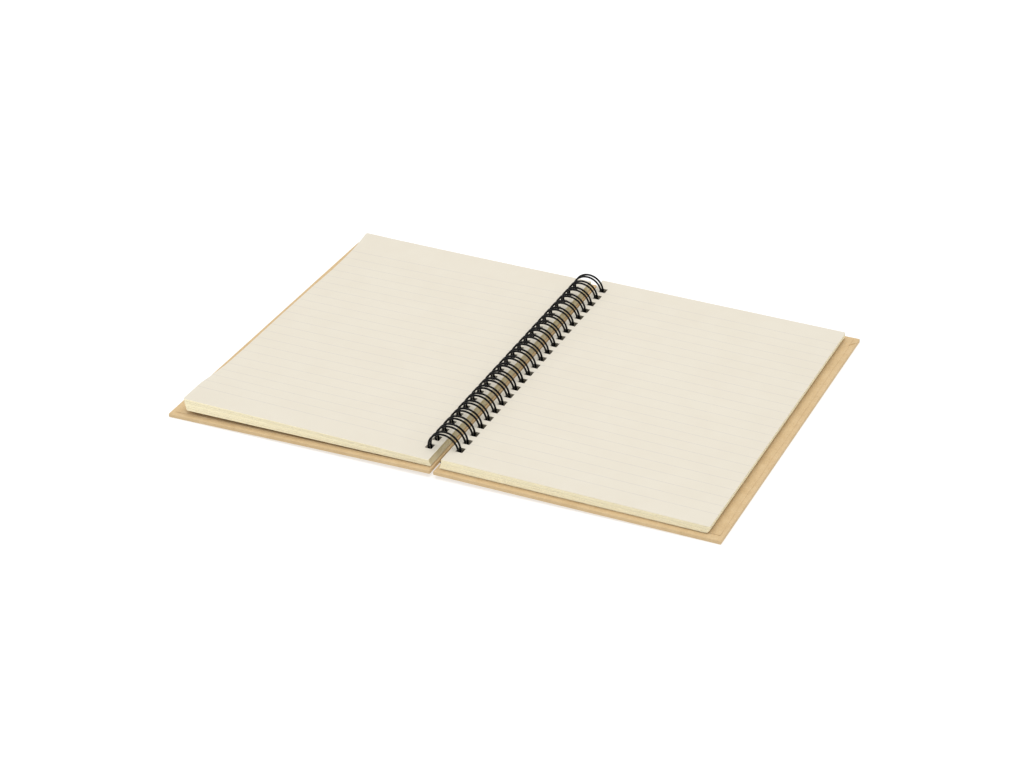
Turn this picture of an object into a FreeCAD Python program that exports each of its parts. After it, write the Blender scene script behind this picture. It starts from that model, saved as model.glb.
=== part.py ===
import FreeCAD, Part
import math
import os

# A spiral notebook that lies open on a table, in millimetres.
# Two wrapped boards and two stacks of leaves hang on one twin-loop wire.
# +X runs right across the spread, +Y up the page to its head, +Z up.
# The origin is on the table, under the wire, halfway along the spine.

os.makedirs("parts", exist_ok=True)
vector = FreeCAD.Vector

# Leaves
leaf_width = 148.0
leaf_height = 210.0
leaf_hole_to_edge = 5.2
left_thickness_at_spine = 3.35
left_thickness_at_fore_edge = 6.95
left_lift_at_fore_edge = 2.2
left_sag = 0.5
right_thickness_at_spine = 5.45
right_thickness_at_fore_edge = 3.95
right_slip = 0.8
leaf_corner_radius = 1.2

# Covers: a grey board, its kraft wrap and the liner that hides the turn-ins
cover_wider_than_leaf = 10.6
cover_taller_than_leaf = 7.2
board_thickness = 1.9
kraft_thickness = 0.15
board_edge_radius = 0.35
turn_in_width = 15.0
liner_inset = 2.6
liner_spine_inset = 1.2
cover_lift_at_spine = 2.0
gap_between_covers = 1.8

# Twin-loop wire
loop_pitch = 25.4 / 3
least_end_margin = 10.0
row_shift_to_head = 0.5
wire_diameter = 1.1
twin_spacing = 2.7
root_bend_radius = 1.2
closure_start_angle = 1.0
closure_gap = 0.4

# Running clearances
wire_side_clearance = 0.35
cover_hole_clearance = 0.3
leaf_hole_clearance = 1.4
body_gap = 0.3

# What follows from those sizes
cover_width = leaf_width + cover_wider_than_leaf
cover_height = leaf_height + cover_taller_than_leaf
spine_edge = gap_between_covers / 2
wrapped_thickness = board_thickness + 2 * kraft_thickness
lined_thickness = wrapped_thickness + kraft_thickness
stack_foot = cover_lift_at_spine + lined_thickness + body_gap
left_top_at_spine = stack_foot + left_thickness_at_spine
right_top_at_spine = stack_foot + right_thickness_at_spine
ring_centre = (left_top_at_spine + right_top_at_spine + body_gap) / 2
wire_radius = wire_diameter / 2
ring_radius = ring_centre - wire_radius
hole_length = twin_spacing + wire_diameter + 2 * wire_side_clearance
loop_gaps = int((leaf_height - 2 * least_end_margin) / loop_pitch)
row_length = loop_pitch * loop_gaps


def loop_places():
    first = row_shift_to_head - row_length / 2
    return [first + loop_pitch * i for i in range(loop_gaps + 1)]


def box(low, high):
    size = high - low
    return Part.makeBox(size.x, size.y, size.z, low)


def mirrored(shape):
    return shape.mirror(vector(0, 0, 0), vector(1, 0, 0))


# Covers, modelled flat and on the right, then tipped up at the spine

def cover_box(inset, low, high):
    return box(
        vector(spine_edge + inset, -cover_height / 2 + inset, low),
        vector(spine_edge + cover_width - inset, cover_height / 2 - inset, high),
    )


def rounded(shape, radius):
    return shape.makeFillet(radius, shape.Edges)


def cover_core():
    core = cover_box(kraft_thickness, kraft_thickness, kraft_thickness + board_thickness)
    return rounded(core, board_edge_radius)


def cover_hole_span():
    # The wire leans as it crosses the board, so the hole takes its whole slant.
    inner_reach = ring_radius - wire_radius - cover_hole_clearance
    outer_reach = ring_radius + wire_radius + cover_hole_clearance
    under = ring_centre - cover_lift_at_spine
    over = under - lined_thickness
    inner = math.sqrt(inner_reach ** 2 - under ** 2)
    outer = math.sqrt(outer_reach ** 2 - over ** 2)
    return inner, outer


def cover_holes():
    inner, outer = cover_hole_span()
    low = -lined_thickness
    high = 2 * lined_thickness
    return [
        box(vector(inner, y - hole_length / 2, low), vector(outer, y + hole_length / 2, high))
        for y in loop_places()
    ]


def tipped(shape):
    angle = math.degrees(math.asin(cover_lift_at_spine / cover_width))
    fore_edge = vector(spine_edge + cover_width, 0, 0)
    shape.rotate(fore_edge, vector(0, 1, 0), angle)
    return shape


def cover_board():
    return tipped(cover_core().cut(cover_holes()))


def cover_wrap():
    # One sheet: the outside face, four wrapped edges and the turn-ins.
    sheet = rounded(cover_box(0, 0, wrapped_thickness), board_edge_radius + kraft_thickness)
    window = cover_box(turn_in_width, board_thickness, wrapped_thickness + kraft_thickness)
    return tipped(sheet.cut([cover_core(), window] + cover_holes()))


def liner_rim():
    return box(
        vector(spine_edge + liner_spine_inset, -cover_height / 2 + liner_inset, wrapped_thickness),
        vector(
            spine_edge + cover_width - liner_inset,
            cover_height / 2 - liner_inset,
            lined_thickness,
        ),
    )


def cover_liner():
    # The liner lies on the turn-ins and steps down to the board between them.
    step = kraft_thickness
    rim = liner_rim()
    well = cover_box(turn_in_width, wrapped_thickness - step, lined_thickness)
    hollow = cover_box(turn_in_width + step, wrapped_thickness, lined_thickness + step)
    return tipped(rim.fuse(well).cut([hollow] + cover_holes()))


# Leaf stacks: every leaf has its hole on the wire, so the stack leans along the ring

def ring_x(z):
    return math.sqrt(ring_radius ** 2 - (z - ring_centre) ** 2)


def point(x, z):
    return vector(x, -leaf_height / 2, z)


def arc(start, middle, end):
    return Part.Arc(start, middle, end).toShape()


def line(start, end):
    return Part.LineSegment(start, end).toShape()


def leaf_side(low, high, offset):
    # A line through the same place on every leaf follows the ring.
    middle = (low + high) / 2
    return [point(ring_x(z) + offset, z) for z in (low, middle, high)]


def leaf_holes(low, high, slip):
    across = wire_radius + leaf_hole_clearance
    inner = leaf_side(low, high, slip - across)
    outer = leaf_side(low, high, slip + across)
    edges = [
        arc(*inner),
        line(inner[2], outer[2]),
        arc(*outer[::-1]),
        line(outer[0], inner[0]),
    ]
    face = Part.Face(Part.Wire(edges))
    hole = face.extrude(vector(0, hole_length, 0))
    start = leaf_height / 2 - hole_length / 2
    return [hole.translated(vector(0, start + y, 0)) for y in loop_places()]


def leaf_stack(top, fore_low, fore_high, sag, slip):
    # Slip is how far the leaves are drawn out along the play of their holes.
    foot = stack_foot
    spine = leaf_side(foot, top, slip - leaf_hole_to_edge)
    reach = leaf_width - leaf_hole_to_edge + slip
    fore_low_point = point(ring_x(foot) + reach, fore_low)
    fore_middle = point(ring_x((foot + top) / 2) + reach, (fore_low + fore_high) / 2)
    fore_high_point = point(ring_x(top) + reach, fore_high)
    crown = (spine[2] + fore_high_point) / 2 - vector(0, 0, sag)
    face_top = line(fore_high_point, spine[2])
    if sag:
        face_top = arc(fore_high_point, crown, spine[2])
    edges = [
        line(spine[0], fore_low_point),
        arc(fore_low_point, fore_middle, fore_high_point),
        face_top,
        arc(*spine[::-1]),
    ]
    stack = Part.Face(Part.Wire(edges)).extrude(vector(0, leaf_height, 0))
    stack = stack.makeFillet(leaf_corner_radius, fore_corners(stack))
    return stack.cut(leaf_holes(foot - body_gap, top + body_gap, slip))


def fore_corners(stack):
    # The two edges where the fore-edge face meets the head and tail faces.
    centre = stack.BoundBox.Center.x
    found = []
    for edge in stack.Edges:
        first, last = [corner.Point for corner in edge.Vertexes]
        if min(first.x, last.x) > centre and first.y == last.y:
            found.append(edge)
    return found


def right_pages():
    low = lined_thickness + body_gap
    high = low + right_thickness_at_fore_edge
    return leaf_stack(right_top_at_spine, low, high, 0, right_slip)


def left_pages():
    low = lined_thickness + left_lift_at_fore_edge
    high = low + left_thickness_at_fore_edge
    return mirrored(leaf_stack(left_top_at_spine, low, high, left_sag, 0))


# Twin-loop wire: hairpins side by side, rolled shut round the stacks

def ring_point(angle, y):
    turn = math.radians(angle)
    return vector(ring_radius * math.cos(turn), y, ring_centre + ring_radius * math.sin(turn))


def ring_tangent(angle):
    turn = math.radians(angle)
    return vector(math.sin(turn), 0, -math.cos(turn))


def wire_section(centre, direction):
    circle = Part.Wire(Part.makeCircle(wire_radius, centre, direction))
    return Part.Face(circle)


def bend(start, direction, centre, axis, angle):
    return wire_section(start, direction).revolve(centre, axis, angle)


along = vector(0, 1, 0)
root_angle = -90 + closure_start_angle
tip_bend_radius = twin_spacing / 2
bend_spacing = tip_bend_radius + root_bend_radius + wire_diameter + closure_gap
tip_setback = math.sqrt(bend_spacing ** 2 - (tip_bend_radius + root_bend_radius) ** 2)
tip_angle = root_angle + math.degrees(tip_setback / ring_radius)


def loop_arc(y):
    sweep = 360 - (tip_angle - root_angle)
    centre = vector(0, y, ring_centre)
    start = ring_point(root_angle, y)
    return bend(start, ring_tangent(root_angle), centre, along, sweep)


def tip_bend(y):
    # The closed end of one hairpin.
    direction = ring_tangent(tip_angle)
    start = ring_point(tip_angle, y - tip_bend_radius)
    centre = ring_point(tip_angle, y)
    axis = direction.cross(along)
    return bend(start, direction, centre, axis, 180)


def root_link(y):
    # The link from one hairpin to the next: a bend, a straight and a bend.
    direction = ring_tangent(root_angle) * -1
    first = ring_point(root_angle, y + tip_bend_radius)
    second = ring_point(root_angle, y + loop_pitch - tip_bend_radius)
    first_centre = first + along * root_bend_radius
    second_centre = second - along * root_bend_radius
    axis = direction.cross(along)
    straight_start = first_centre + direction * root_bend_radius
    straight_length = second_centre.y - first_centre.y
    second_start = second_centre + direction * root_bend_radius
    return [
        bend(first, direction, first_centre, axis, 90),
        wire_section(straight_start, along).extrude(along * straight_length),
        bend(second_start, along, second_centre, axis, 90),
    ]


def twin_loop_wire():
    pieces = []
    for y in loop_places():
        pieces.append(loop_arc(y - tip_bend_radius))
        pieces.append(loop_arc(y + tip_bend_radius))
        pieces.append(tip_bend(y))
    for y in loop_places()[:-1]:
        pieces.extend(root_link(y))
    return pieces[0].multiFuse(pieces[1:])


nodes = {
    "twin_loop_wire": twin_loop_wire(),
    "back_cover_board": cover_board(),
    "back_cover_wrap": cover_wrap(),
    "back_cover_liner": cover_liner(),
    "right_pages": right_pages(),
    "front_cover_board": mirrored(cover_board()),
    "front_cover_wrap": mirrored(cover_wrap()),
    "front_cover_liner": mirrored(cover_liner()),
    "left_pages": left_pages(),
}

for name, shape in nodes.items():
    shape.exportStep("parts/" + name + ".step")
    size = shape.BoundBox
    print(
        name, "solids", len(shape.Solids), "valid", shape.isValid(),
        "volume", round(shape.Volume, 2),
        "x", round(size.XMin, 2), round(size.XMax, 2),
        "y", round(size.YMin, 2), round(size.YMax, 2),
        "z", round(size.ZMin, 2), round(size.ZMax, 2),
    )
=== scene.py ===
import math

import bmesh
import bpy
import numpy as np
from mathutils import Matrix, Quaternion, Vector


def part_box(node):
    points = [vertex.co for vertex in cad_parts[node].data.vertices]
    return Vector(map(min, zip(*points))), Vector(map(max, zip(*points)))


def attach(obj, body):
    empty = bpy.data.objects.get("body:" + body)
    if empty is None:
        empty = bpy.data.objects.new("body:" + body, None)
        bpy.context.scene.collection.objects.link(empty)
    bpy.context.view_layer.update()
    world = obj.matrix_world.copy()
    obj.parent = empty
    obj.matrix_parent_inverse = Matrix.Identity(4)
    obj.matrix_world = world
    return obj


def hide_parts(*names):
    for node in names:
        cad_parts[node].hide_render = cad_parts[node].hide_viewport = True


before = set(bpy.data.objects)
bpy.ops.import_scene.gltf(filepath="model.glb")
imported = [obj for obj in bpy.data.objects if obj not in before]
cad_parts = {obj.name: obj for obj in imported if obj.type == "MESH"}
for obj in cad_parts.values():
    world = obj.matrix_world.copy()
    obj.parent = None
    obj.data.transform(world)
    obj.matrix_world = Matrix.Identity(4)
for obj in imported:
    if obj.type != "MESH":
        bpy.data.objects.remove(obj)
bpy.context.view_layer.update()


# Grey boards. Each cover is stiffened by a sheet of 1.9 mm grey board, pressed
# from waste paper. It shows only in the walls of the punched holes.

class Shade:
    """A socket of a finish. Sums on it add Math nodes."""

    def __init__(self, tree, socket=None):
        self.tree = tree
        self.socket = socket

    def node(self, kind, settings, inputs, output=0):
        made = self.tree.nodes.new(kind)
        for name, value in settings.items():
            if name == "stops":
                self.set_stops(made.color_ramp, value)
            else:
                setattr(made, name, value)
        for name, value in inputs.items():
            if isinstance(value, Shade):
                self.tree.links.new(value.socket, made.inputs[name])
            else:
                made.inputs[name].default_value = value
        return Shade(self.tree, made.outputs[output] if made.outputs else None)

    def set_stops(self, ramp, stops):
        while len(ramp.elements) < len(stops):
            ramp.elements.new(1.0)
        for element, (place, level) in zip(ramp.elements, stops):
            element.position = place
            element.color = (level, level, level, 1)

    def sum(self, operation, first, second):
        return self.node("ShaderNodeMath", {"operation": operation}, {0: first, 1: second})

    def __add__(self, other):
        return self.sum("ADD", self, other)

    def __sub__(self, other):
        return self.sum("SUBTRACT", self, other)

    def __rsub__(self, other):
        return self.sum("SUBTRACT", other, self)

    def __mul__(self, other):
        return self.sum("MULTIPLY", self, other)

    def __lt__(self, other):
        return self.sum("LESS_THAN", self, other)

    def __gt__(self, other):
        return self.sum("GREATER_THAN", self, other)

    __radd__ = __add__
    __rmul__ = __mul__

    def ramp(self, *stops):
        return self.node("ShaderNodeValToRGB", {"stops": stops}, {"Fac": self})

    def mix(self, first, second):
        settings = {"data_type": "RGBA"}
        return self.node("ShaderNodeMix", settings, {0: self, 6: first, 7: second}, 2)

    def noise(self, scale, detail=3.0, roughness=0.5):
        sizes = {"Vector": self, "Scale": scale, "Detail": detail, "Roughness": roughness}
        return self.node("ShaderNodeTexNoise", {}, sizes)

    def stretched(self, turn, stretch):
        settings = {"vector_type": "TEXTURE"}
        places = {"Vector": self, "Rotation": turn, "Scale": stretch}
        return self.node("ShaderNodeMapping", settings, places)


def new_finish(name):
    material = bpy.data.materials.new(name)
    material.use_nodes = True
    material.node_tree.nodes.clear()
    finish = Shade(material.node_tree)
    place = finish.node("ShaderNodeTexCoord", {}, {}, "Object")
    return material, finish, place


def bump(finish, height, distance, strength=1.0):
    inputs = {"Height": height, "Distance": distance, "Strength": strength}
    return finish.node("ShaderNodeBump", {}, inputs)


def surface(finish, inputs):
    shader = finish.node("ShaderNodeBsdfPrincipled", {}, inputs)
    finish.node("ShaderNodeOutputMaterial", {}, {"Surface": shader})


def face_outward(piece):
    mesh = bmesh.new()
    mesh.from_mesh(piece.data)
    bmesh.ops.recalc_face_normals(mesh, faces=mesh.faces)
    mesh.to_mesh(piece.data)
    mesh.free()


def dress(name, material):
    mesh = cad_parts[name].data
    mesh.materials.clear()
    mesh.materials.append(material)


board_light = (0.36, 0.34, 0.31, 1)
board_dark = (0.20, 0.185, 0.165, 1)

grey_board, finish, place = new_finish("grey_board")
layers = place.stretched((0, 0, 0), (0.02, 0.02, 0.0006)).noise(5.0, 4.0)
specks = place.noise(2600.0, 2.0).ramp((0.62, 0), (0.7, 1))
surface(finish, {
    "Base Color": (layers * 0.7 + specks * 0.3).mix(board_light, board_dark),
    "Roughness": 0.95,
    "Normal": bump(finish, layers + specks * 0.5, 0.00008),
})
for name in ("back_cover_board", "front_cover_board"):
    dress(name, grey_board)


# Kraft wraps. A sheet of unbleached kraft paper covers the outside of each
# board. Its four edges are turned in and glued, with a tuck at each corner.

cover_width = 0.1586
cover_height = 0.2172
cover_spine_edge = 0.0009
cover_lift = 0.0020
wrapped_thickness = 0.0022
lined_thickness = 0.00235
turn_in_width = 0.015

kraft_light = (0.632, 0.468, 0.266, 1)
kraft_dark = (0.568, 0.405, 0.216, 1)
kraft_fibre_pale = (0.78, 0.63, 0.41, 1)
kraft_fibre_dark = (0.38, 0.24, 0.11, 1)

tuck_width = 0.0011
tuck_least_inset = 0.0003
tuck_sunk = 0.00004
tuck_stations = 7
flat_fold = 0.00016
raised_fold = 0.00045

# Each tuck runs from the board's edge to under the liner. Its two ends are
# given as distances in from the fore-edge or spine and from the head or tail,
# and then how high its folded edge stands.
tucks = {
    "back_cover": [("fore", "head", (0.0003, 0.0056), (0.0036, 0.0102), raised_fold),
                   ("fore", "tail", (0.0002, 0.0004), (0.0042, 0.0052), flat_fold),
                   ("spine", "head", (0.0003, 0.0005), (0.0032, 0.0040), flat_fold),
                   ("spine", "tail", (0.0003, 0.0004), (0.0030, 0.0044), flat_fold)],
    "front_cover": [("fore", "head", (0.0004, 0.0030), (0.0040, 0.0072), flat_fold),
                    ("fore", "tail", (0.0003, 0.0005), (0.0041, 0.0047), flat_fold),
                    ("spine", "head", (0.0003, 0.0004), (0.0031, 0.0036), flat_fold),
                    ("spine", "tail", (0.0004, 0.0004), (0.0034, 0.0041), flat_fold)],
}


def fibres(place, turn, length, low):
    grain = place.stretched((0, 0, turn), (length, 1.0, 1.0)).noise(3400.0, 1.0)
    return grain.ramp((low, 0), (low + 0.05, 1))


def kraft_finish(name, seed):
    material, finish, place = new_finish(name)
    cloud = place.noise(140.0 + seed, 6.0, 0.62).ramp((0.3, 0), (0.7, 1))
    pale = fibres(place, 0.5 + seed, 6.0, 0.63) + fibres(place, -0.9, 5.0, 0.64)
    deep = fibres(place, 1.4, 6.0, 0.66) + fibres(place, -0.2 - seed, 7.0, 0.67)
    colour = cloud.mix(kraft_light, kraft_dark)
    colour = (pale * 0.30).mix(colour, kraft_fibre_pale)
    colour = (deep * 0.38).mix(colour, kraft_fibre_dark)
    relief = place.noise(1800.0, 4.0, 0.65) + pale * 0.4 - deep * 0.2
    surface(finish, {
        "Base Color": colour,
        "Roughness": cloud * 0.12 + 0.72,
        "Specular IOR Level": 0.3,
        "Normal": bump(finish, relief, 0.00003, 0.7),
    })
    return material


def on_cover(side, across, up, height):
    """A place on a cover, given flat. The cover then tips up at its spine edge."""
    sine = cover_lift / cover_width
    cosine = math.sqrt(1 - sine ** 2)
    inward = cover_width - across
    x = cover_spine_edge + cover_width - inward * cosine + height * sine
    return np.stack([side * x, up + 0 * x, inward * sine + height * cosine], -1)


def add_mesh(name, points, faces, materials):
    mesh = bpy.data.meshes.new(name)
    mesh.from_pydata(np.asarray(points).tolist(), [], faces)
    for material in materials:
        mesh.materials.append(material)
    piece = bpy.data.objects.new(name, mesh)
    bpy.context.scene.collection.objects.link(piece)
    return piece


def tuck_points(side, edge, end, start, stop, fold_height):
    """A low wedge, steep on one side where the folded sheet's edge lies."""
    share = np.linspace(0, 1, tuck_stations)
    along = np.array(stop) - np.array(start)
    aside = np.array([along[1], -along[0]]) / np.hypot(*along)
    place = np.array(start) + share[:, None] * along
    high = fold_height * (0.35 + 0.65 * np.sin(math.pi * (0.15 + 0.7 * share)))
    stations = []
    for shift, height in ((0, -tuck_sunk), (0, high), (tuck_width, -tuck_sunk)):
        inset = np.maximum(place + aside * shift, tuck_least_inset)
        across = cover_width - inset[:, 0] if edge == "fore" else inset[:, 0]
        up = (cover_height / 2 - inset[:, 1]) * (1 if end == "head" else -1)
        stations.append(on_cover(side, across, up, wrapped_thickness + height + 0 * across))
    return np.stack(stations, 1).reshape(-1, 3)


def prism_faces(first, stations, corners):
    """Faces of a closed bar made of equal sections, one after another."""
    faces = [[first + c for c in range(corners)]]
    for i in range(stations - 1):
        for c in range(corners):
            a = first + i * corners + c
            b = first + i * corners + (c + 1) % corners
            faces.append([b, a, a + corners, b + corners])
    last = first + (stations - 1) * corners
    return faces + [[last + c for c in reversed(range(corners))]]


kraft_wrap = kraft_finish("kraft_wrap", 0.0)
for cover, side in (("back_cover", 1), ("front_cover", -1)):
    dress(cover + "_wrap", kraft_wrap)
    points = [tuck_points(side, *tuck) for tuck in tucks[cover]]
    faces = []
    for number in range(len(points)):
        faces += prism_faces(number * tuck_stations * 3, tuck_stations, 3)
    corner_tucks = add_mesh(cover + "_corner_tucks", np.concatenate(points), faces, [kraft_wrap])
    face_outward(corner_tucks)
    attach(corner_tucks, cover)


# Liners. A second kraft sheet is glued by hand over the turned-in edges, a
# little out of square, and steps down to the board inside them.

liner_inset = 0.0026
liner_spine_inset = 0.0012
liner_step_width = 0.0008
liner_edge_band = 0.010
liner_edge_steps = (liner_inset, 0.0042, 0.006, liner_edge_band)
liner_middle = (0.04, 0.075, 0.11)
liner_wave = 0.00015
liner_corner_lift = 0.00012
cover_hole_span = (0.0021, 0.00727)
hole_length = 0.0045
loop_pitch = 0.0254 / 3
loop_count = 23
row_shift = 0.0005

# How much farther in each fore-edge corner of a liner lies, in metres, from
# the fore-edge and from the head or tail.
liner_corners = {
    "back_cover": {"tail": (-0.0004, 0.0018), "head": (0.0005, -0.0003)},
    "front_cover": {"tail": (0.0003, 0.0004), "head": (-0.0002, 0.0009)},
}


def loop_places():
    return [row_shift + loop_pitch * (i - (loop_count - 1) / 2) for i in range(loop_count)]


def hole_rows():
    return [y + end for y in loop_places() for end in (-hole_length / 2, hole_length / 2)]


def punched_cells(columns, rows, hole_span):
    """Which cells of a sheet's grid are paper: all but the punched holes."""
    across = (columns[1:] + columns[:-1]) / 2
    up = (rows[1:] + rows[:-1]) / 2
    in_span = (across > hole_span[0]) & (across < hole_span[1])
    nearest = np.min(np.abs(up[:, None] - np.array(loop_places())), axis=1)
    return ~np.outer(in_span, nearest < hole_length / 2)


def sheet_faces(first, paper, turned):
    """Corner numbers of a sheet's faces, and each face's slot: 0 face, 1 edge."""
    rows = paper.shape[1] + 1
    under = (paper.shape[0] + 1) * rows
    faces = []
    slots = []

    def corner(place, layer):
        return first + layer * under + place[0] * rows + place[1]

    for i, j in zip(*np.nonzero(paper)):
        ring = [(i, j), (i + 1, j), (i + 1, j + 1), (i, j + 1)]
        faces.append([corner(c, 0) for c in ring])
        faces.append([corner(c, 1) for c in ring[::-1]])
        slots += [0, 0]
        for k, (ni, nj) in enumerate([(i, j - 1), (i + 1, j), (i, j + 1), (i - 1, j)]):
            inside = 0 <= ni < paper.shape[0] and 0 <= nj < paper.shape[1]
            if not (inside and paper[ni, nj]):
                a, b = ring[k], ring[(k + 1) % 4]
                faces.append([corner(a, 1), corner(b, 1), corner(b, 0), corner(a, 0)])
                slots.append(1)
    if turned:
        faces = [face[::-1] for face in faces]
    return faces, slots


def eased(value):
    clipped = np.clip(value, 0, 1)
    return clipped * clipped * (3 - 2 * clipped)


def liner_grid():
    end = cover_height / 2
    step = [turn_in_width, turn_in_width + liner_step_width / 2, turn_in_width + liner_step_width]
    fore_step = [cover_width - place for place in step]
    columns = [liner_spine_inset, *cover_hole_span, liner_edge_band]
    columns += [*step, *liner_middle, *fore_step]
    columns += [cover_width - place for place in liner_edge_steps]
    inner = [*liner_edge_steps, *step]
    rows = [end - place for place in inner] + [place - end for place in inner] + hole_rows()
    return np.array(sorted(columns)), np.array(sorted(rows))


def liner(cover, side, material, chance):
    columns, rows = liner_grid()
    across, up = np.meshgrid(columns, rows, indexing="ij")
    from_spine, from_fore = across, cover_width - across
    from_end = cover_height / 2 - np.abs(up)
    inset = np.minimum(np.minimum(from_spine, from_fore), from_end)
    drop = lined_thickness - wrapped_thickness
    top = lined_thickness - drop * eased((inset - turn_in_width) / liner_step_width)
    waves = chance.uniform(0, 6.28, 3)
    near_fore = eased((liner_edge_band - from_fore) / (liner_edge_band - liner_inset))
    near_end = eased((liner_edge_band - from_end) / (liner_edge_band - liner_inset))
    fore_in = liner_wave * (np.sin(up * 55 + waves[0]) + np.sin(up * 140 + waves[1]))
    end_in = liner_wave * np.sin(across * 70 + waves[2])
    for end, way in (("tail", -1), ("head", 1)):
        fore_more, end_more = liner_corners[cover][end]
        half = eased(up * way / (cover_height / 2)) ** 2
        fore_in = fore_in + fore_more * half
        end_in = end_in + end_more * eased(across / cover_width) ** 6 * (up * way > 0)
    across = across - near_fore * fore_in
    up = up - np.sign(up) * near_end * end_in
    top = top + liner_corner_lift * near_fore * near_end
    layers = [on_cover(side, across, up, top), on_cover(side, across, up, top - drop)]
    faces, _ = sheet_faces(0, punched_cells(columns, rows, cover_hole_span), side < 0)
    points = np.concatenate([layer.reshape(-1, 3) for layer in layers])
    return add_mesh(cover + "_liner_sheet", points, faces, [material])


kraft_liner = kraft_finish("kraft_liner", 0.35)
for cover, side, seed in (("back_cover", 1, 5), ("front_cover", -1, 6)):
    sheet = liner(cover, side, kraft_liner, np.random.default_rng(seed))
    face_outward(sheet)
    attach(sheet, cover)
    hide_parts(cover + "_liner")


# Leaves. Two stacks of thin ruled paper, punched with one oblong hole for each
# pair of wires. Every leaf hangs on the ring, so the stacks lean round it.

leaf_width = 0.148
leaf_height = 0.210
leaf_count = 42
leaf_share_of_pitch = 0.92
leaf_corner = 0.0012
leaf_middle = np.linspace(0.014, leaf_width - 0.006, 9)
leaf_slip = 0.0001
tail_slip = 0.0002
right_slip = 0.0008
left_thickness_at_spine = 0.00335
right_thickness_at_spine = 0.00545
right_fore_foot = 0.00265
right_thickness_at_fore_edge = 0.00395
left_fore_foot = 0.00455
leaf_hole_to_edge = 0.0052
leaf_hole_width = 0.0039
stack_foot = 0.00465
wire_radius = 0.00055
ring_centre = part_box("twin_loop_wire")[1].z / 2
ring_radius = ring_centre - wire_radius
leaf_hole_span = (leaf_hole_to_edge - leaf_hole_width / 2, leaf_hole_to_edge + leaf_hole_width / 2)

# The left block lifts at its two fore-edge corners and lies lower between them.
# Its top leaves belly up near the tail and curl up at the head's corner.
left_fore_places = [-0.105, -0.087, -0.076, -0.060, -0.040, 0,
                    0.040, 0.062, 0.080, 0.092, 0.105]
left_fore_tops = [0.0115, 0.0115, 0.0102, 0.0088, 0.0085, 0.0087,
                  0.0085, 0.0080, 0.0085, 0.0094, 0.0115]
left_sag_places = [-0.105, -0.060, 0.105]
left_sags = [-0.0006, 0.0012, 0.0008]
corner_curl = 0.0002
corner_curl_reach = 0.012

paper_light = (0.692, 0.645, 0.547, 1)
paper_dark = (0.680, 0.630, 0.531, 1)
paper_edge = (0.920, 0.850, 0.620, 1)
paper_edge_dark = (0.820, 0.745, 0.500, 1)
# Painted shade: the cut edges by the ring are the same paper as the other edges, given a darker,
# more olive copy of their colour.
paper_edge_painted_shade = (0.800, 0.690, 0.330, 1)
paper_edge_painted_shade_dark = (0.500, 0.410, 0.150, 1)
# Painted shade: a dark colour for the leaves' cut edges in the punched holes.
painted_hole_shade = (0.130, 0.110, 0.070, 1)
rule_ink = (0.50, 0.47, 0.46, 1)
rule_strength = 0.68
rule_spacing = 0.008
rule_width = 0.0003
right_first_rule, right_rule_count = 0.0908, 24
left_first_rule, left_rule_count = 0.0856, 23

# How far from the spine's middle lie the cut edges that get painted shade, where the ring shades
# them.
hole_shade_span = (0.0055, 0.0125)
ring_shade_reach = 0.012
end_face_margin = 0.0008
# Painted light: the leaves' cut edges glow a little, though they are no lamp.
fore_edge_painted_glow = 0.21
spine_edge_painted_glow = 0.06


def ruled_finish(name, first_rule, rule_count):
    material, finish, place = new_finish(name)
    y = place.node("ShaderNodeSeparateXYZ", {}, {"Vector": place}, "Y")
    last_rule = first_rule - rule_spacing * (rule_count - 1)
    beat = y.node("ShaderNodeMath", {"operation": "WRAP"}, {
        0: y - first_rule, 1: rule_spacing / 2, 2: -rule_spacing / 2,
    })
    away = beat.node("ShaderNodeMath", {"operation": "ABSOLUTE"}, {0: beat})
    on_page = (y < first_rule + rule_width) * (y > last_rule - rule_width)
    rule = (away < rule_width / 2) * on_page
    ink = rule * place.noise(900.0, 2.0).ramp((0.3, 0.55), (0.6, 1))
    cloud = place.noise(60.0, 4.0, 0.6).ramp((0.35, 0), (0.65, 1))
    colour = cloud.mix(paper_light, paper_dark)
    surface(finish, {
        "Base Color": (ink * rule_strength).mix(colour, rule_ink),
        "Roughness": 0.85,
        "Specular IOR Level": 0.25,
        "Normal": bump(finish, place.noise(2500.0, 3.0, 0.6), 0.00002, 0.5),
    })
    return material


def leaf_edge_finish(name, light, dark, painted_hole_shade_share, painted_glow):
    """Cut edges of the leaves. They glow with painted light, and have painted shade where they lie
    in the holes.
    """
    material, finish, place = new_finish(name)
    streaks = place.stretched((0, 0, 0), (1.0, 1.0, 0.02)).noise(200.0, 3.0)
    colour = streaks.ramp((0.35, 0), (0.65, 1)).mix(light, dark)
    x = place.node("ShaderNodeSeparateXYZ", {}, {"Vector": place}, "X")
    from_spine = x.node("ShaderNodeMath", {"operation": "ABSOLUTE"}, {0: x})
    # Painted shade: cut edges in the holes, picked by their distance from the spine's middle, are
    # darkened.
    painted_hole_shade_mask = (from_spine > hole_shade_span[0]) * (from_spine < hole_shade_span[1])
    colour = (painted_hole_shade_mask * painted_hole_shade_share).mix(colour, painted_hole_shade)
    surface(finish, {
        "Base Color": colour,
        "Roughness": 0.95,
        "Specular IOR Level": 0.2,
        # Painted light: the edge colour also glows.
        "Emission Color": colour,
        "Emission Strength": painted_glow,
    })
    return material


def leaf_grid():
    corner = [leaf_corner * share for share in (0, 0.5, 1)]
    columns = [0.0, *leaf_hole_span, *leaf_middle] + [leaf_width - step for step in corner]
    end = leaf_height / 2
    rows = [step - end for step in corner] + [end - step for step in corner] + hole_rows()
    return np.array(sorted(columns)), np.array(sorted(rows))


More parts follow.
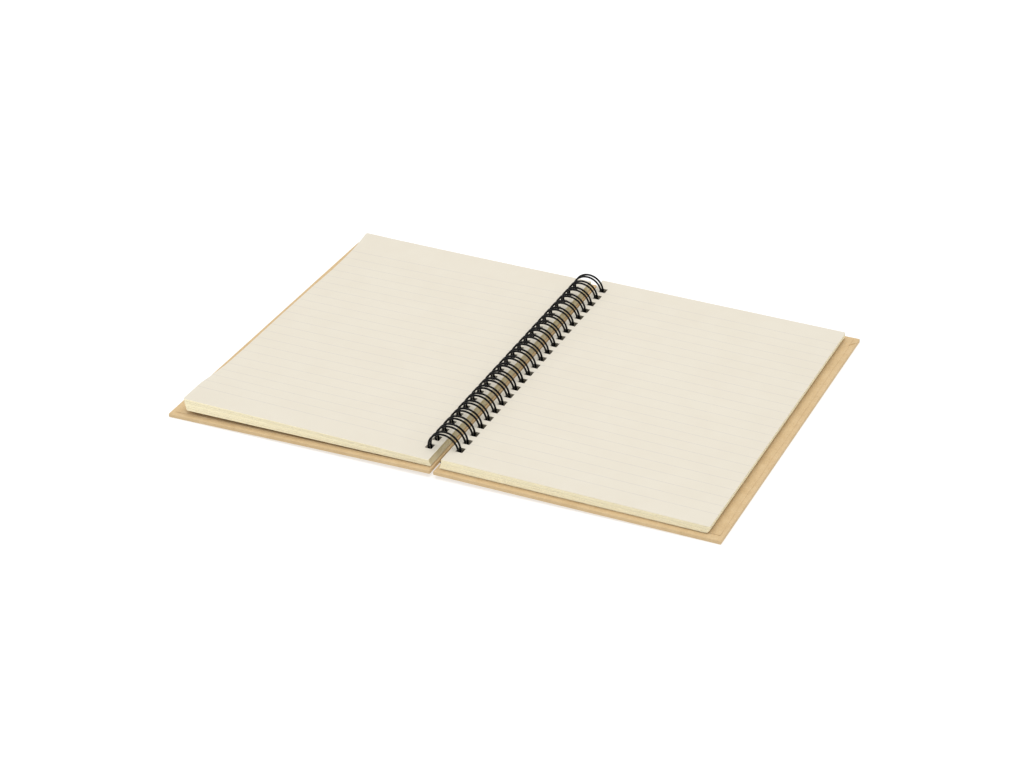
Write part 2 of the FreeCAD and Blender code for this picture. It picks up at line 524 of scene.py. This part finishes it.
def leaf_plan():
    """Plan places of a leaf's grid, with its two fore-edge corners rounded."""
    across, up = np.meshgrid(*leaf_grid(), indexing="ij")
    start = leaf_width - leaf_corner
    inner = leaf_height / 2 - leaf_corner
    dx = (across - start) / leaf_corner
    dy = (np.abs(up) - inner) / leaf_corner
    in_corner = (dx > 1e-6) & (dy > 1e-6)
    shrink = np.maximum(dx, dy) / np.maximum(np.hypot(dx, dy), 1e-9)
    across = np.where(in_corner, start + dx * shrink * leaf_corner, across)
    up = np.where(in_corner, np.sign(up) * (inner + dy * shrink * leaf_corner), up)
    return across, up


def leaf_stack(name, side, slip, spine_thickness, fore_height, curl, finishes, chance):
    """A stack of leaves. side is +1 for the right stack, -1 for the left one."""
    across, up = leaf_plan()
    share = across / leaf_width
    paper = punched_cells(*leaf_grid(), leaf_hole_span)
    fore_thickness = fore_height(1, up) - fore_height(0, up)
    pitch = (spine_thickness + (fore_thickness - spine_thickness) * share) / leaf_count
    half = pitch * leaf_share_of_pitch / 2
    points = []
    faces = []
    slots = []
    for level in (np.arange(leaf_count) + 0.5) / leaf_count:
        spine_z = stack_foot + spine_thickness * level
        hole_x = math.sqrt(ring_radius ** 2 - (spine_z - ring_centre) ** 2)
        slip_x, slip_y = chance.uniform(-leaf_slip, leaf_slip, 2)
        x = hole_x - leaf_hole_to_edge + slip + across + slip_x
        y = up + slip_y - tail_slip * (1 - level)
        z = spine_z + (fore_height(level, up) - spine_z) * share + curl(level, share, up)
        more, kinds = sheet_faces(len(points) * across.size * 2, paper, side < 0)
        faces += more
        slots += kinds
        layers = [np.stack([side * x, y, z + lift], -1).reshape(-1, 3) for lift in (half, -half)]
        points.append(np.concatenate(layers))
    stack = add_mesh(name, np.concatenate(points), faces, finishes)
    stack.data.polygons.foreach_set("material_index", slots)
    mark_spine_edges(stack)
    stack.data.shade_smooth()
    stack.data.set_sharp_from_angle(angle=math.radians(30))
    return stack


def mark_spine_edges(stack):
    """Cut edges in the holes and inside the ring take the third slot, a darker copy of the edge
    finish with painted shade.
    """
    end = leaf_height / 2 - end_face_margin
    for face in stack.data.polygons:
        by_ring = abs(face.center.x) < ring_shade_reach and abs(face.center.y) < end
        if face.material_index == 1 and by_ring:
            face.material_index = 2


def right_fore_height(level, up):
    return right_fore_foot + right_thickness_at_fore_edge * level + 0 * up


def left_fore_height(level, up):
    top = np.interp(up, left_fore_places, left_fore_tops)
    return left_fore_foot + (top - left_fore_foot) * level


def no_curl(level, share, up):
    return 0 * up


def left_curl(level, share, up):
    sag = share * (1 - share) * np.interp(up, left_sag_places, left_sags)
    away = np.hypot((1 - share) * leaf_width, leaf_height / 2 - up)
    return level ** 2 * (corner_curl * np.exp(-(away / corner_curl_reach) ** 2) - sag)


edge_finish = leaf_edge_finish("leaf_edge", paper_edge, paper_edge_dark, 0.0, fore_edge_painted_glow)
# The second edge finish is the darker copy with painted shade, for the edges by the ring.
painted_shade_edge_finish = leaf_edge_finish("leaf_edge_painted_shade", paper_edge_painted_shade,
                                paper_edge_painted_shade_dark, 1.0, spine_edge_painted_glow)
right_page = ruled_finish("right_page", right_first_rule, right_rule_count)
left_page = ruled_finish("left_page", left_first_rule, left_rule_count)
right_leaves = leaf_stack("right_leaves", 1, right_slip, right_thickness_at_spine,
                          right_fore_height, no_curl,
                          [right_page, edge_finish, painted_shade_edge_finish], np.random.default_rng(11))
left_leaves = leaf_stack("left_leaves", -1, 0.0, left_thickness_at_spine,
                         left_fore_height, left_curl,
                         [left_page, edge_finish, painted_shade_edge_finish], np.random.default_rng(12))
for stack, body, node in (
    (right_leaves, "right_stack", "right_pages"),
    (left_leaves, "left_stack", "left_pages"),
):
    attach(stack, body)
    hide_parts(node)


# Twin-loop wire. One length of steel wire with a black coating is bent into a
# row of hairpins, and rolled shut round the leaves and covers.

root_angle = math.radians(-89)
tip_bend_radius = 0.00135
root_bend_radius = 0.0012
closure_gap = 0.0004
wire_sides = 16
arc_stations = 69
coating_dark = (0.004, 0.004, 0.004, 1)
coating_light = (0.009, 0.009, 0.010, 1)

bend_spacing = tip_bend_radius + root_bend_radius + 2 * wire_radius + closure_gap
tip_setback = math.sqrt(bend_spacing ** 2 - (tip_bend_radius + root_bend_radius) ** 2)
tip_angle = root_angle + tip_setback / ring_radius


def ring_points(y, angles):
    x = ring_radius * np.cos(angles)
    z = ring_centre + ring_radius * np.sin(angles)
    return np.stack([x, np.full_like(x, y), z], -1)


def bend_points(start, towards, aside, radius, quarter_turns):
    """Points round a bend that leaves start in one direction and turns aside."""
    turns = np.linspace(0, quarter_turns * math.pi / 2, 4 * quarter_turns + 1)[1:]
    centre = start + aside * radius
    return [centre - aside * radius * math.cos(a) + towards * radius * math.sin(a) for a in turns]


def wire_line():
    """The middle of the wire, from its first end to its last."""
    up = np.array([0.0, 1.0, 0.0])
    root_way = np.array([-math.sin(root_angle), 0, math.cos(root_angle)])
    tip_way = np.array([-math.sin(tip_angle), 0, math.cos(tip_angle)])
    sweep = np.linspace(root_angle, tip_angle - 2 * math.pi, arc_stations)
    line = []
    for y in loop_places():
        out = ring_points(y - tip_bend_radius, sweep)
        if line:
            out = out[1:]
        line += list(out)
        line += bend_points(out[-1], -tip_way, up, tip_bend_radius, 2)
        back = ring_points(y + tip_bend_radius, sweep[::-1])
        line += list(back[1:])
        if y == loop_places()[-1]:
            break
        line += bend_points(back[-1], root_way, up, root_bend_radius, 1)
        following = y + loop_pitch - tip_bend_radius - root_bend_radius
        turn_start = np.array([line[-1][0], following, line[-1][2]])
        line.append(turn_start)
        line += bend_points(turn_start, up, -root_way, root_bend_radius, 1)
    return np.array(line)


def tube(name, line, radius, sides, material):
    """A closed round tube along a line, with frames that don't twist."""
    ways = np.gradient(line, axis=0)
    ways /= np.linalg.norm(ways, axis=1)[:, None]
    side = np.cross(ways[0], [0.0, 1.0, 0.0])
    rings = []
    turns = np.linspace(0, 2 * math.pi, sides, endpoint=False)
    for centre, way in zip(line, ways):
        side = side - way * (side @ way)
        side /= np.linalg.norm(side)
        other = np.cross(way, side)
        spokes = np.outer(np.cos(turns), side) + np.outer(np.sin(turns), other)
        rings.append(centre + radius * spokes)
    faces = []
    for i in range(len(line) - 1):
        for j in range(sides):
            k = (j + 1) % sides
            faces.append([i * sides + j, i * sides + k, (i + 1) * sides + k, (i + 1) * sides + j])
    last = (len(line) - 1) * sides
    faces.append(list(range(sides))[::-1])
    faces.append([last + j for j in range(sides)])
    made = add_mesh(name, np.concatenate(rings), faces, [material])
    made.data.shade_smooth()
    return made


coating, finish, place = new_finish("black_coating")
flecks = place.noise(1400.0, 3.0, 0.6)
surface(finish, {
    "Base Color": flecks.mix(coating_dark, coating_light),
    "Roughness": flecks.ramp((0.3, 0.12), (0.7, 0.20)),
    "Specular IOR Level": 0.09,
    "Normal": bump(finish, flecks, 0.000012, 0.4),
})
loops = tube("twin_loops", wire_line(), wire_radius, wire_sides, coating)
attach(loops, "binding")
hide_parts("twin_loop_wire")


# Table, light and camera. A plain white table, an even white room and one
# broad soft lamp above.

table_reach = 6.0
table_white = (0.50, 0.50, 0.50, 1)
room_brightness = 0.85
lamp_size = (1.2, 0.9)
lamp_watts = 7.9
lamp_place = (0.0, -0.05, 1.3)

white, finish, _ = new_finish("white_table")
surface(finish, {
    "Base Color": table_white,
    "Roughness": 0.9,
    "Specular IOR Level": 0.1,
    "Emission Color": (1, 1, 1, 1),
    "Emission Strength": 0.55,
})
corners = [(x * table_reach, y * table_reach, 0) for x, y in ((-1, -1), (1, -1), (1, 1), (-1, 1))]
table = add_mesh("table", corners, [[0, 1, 2, 3]], [white])

room = bpy.data.worlds.new("room")
room.use_nodes = True
background = room.node_tree.nodes["Background"]
background.inputs["Color"].default_value = (1, 1, 1, 1)
background.inputs["Strength"].default_value = room_brightness
bpy.context.scene.world = room

lamp_data = bpy.data.lights.new("soft_lamp", "AREA")
lamp_data.shape = "RECTANGLE"
lamp_data.size, lamp_data.size_y = lamp_size
lamp_data.energy = lamp_watts
lamp = bpy.data.objects.new("soft_lamp", lamp_data)
lamp.location = lamp_place
lamp.rotation_mode = "QUATERNION"
lamp.rotation_quaternion = (-lamp.location).to_track_quat("-Z", "Y")
bpy.context.scene.collection.objects.link(lamp)

camera_azimuth = math.radians(26.233)
camera_elevation = math.radians(30.621)
camera_roll = math.radians(-2.092)
camera_distance = 1.3345
camera_target = Vector((-0.00191, -0.00667, 0))
back = Vector((
    math.sin(camera_azimuth) * math.cos(camera_elevation),
    -math.cos(camera_azimuth) * math.cos(camera_elevation),
    math.sin(camera_elevation),
))
camera_data = bpy.data.cameras.new("camera")
camera_data.sensor_width = 36
camera_data.lens = 85.423
camera_data.clip_end = 20
camera = bpy.data.objects.new("camera", camera_data)
camera.location = camera_target + back * camera_distance
camera.rotation_mode = "QUATERNION"
roll = Quaternion((0, 0, 1), camera_roll)
camera.rotation_quaternion = (-back).to_track_quat("-Z", "Y") @ roll
bpy.context.scene.collection.objects.link(camera)
bpy.context.scene.camera = camera
bpy.context.scene.view_settings.view_transform = "Standard"
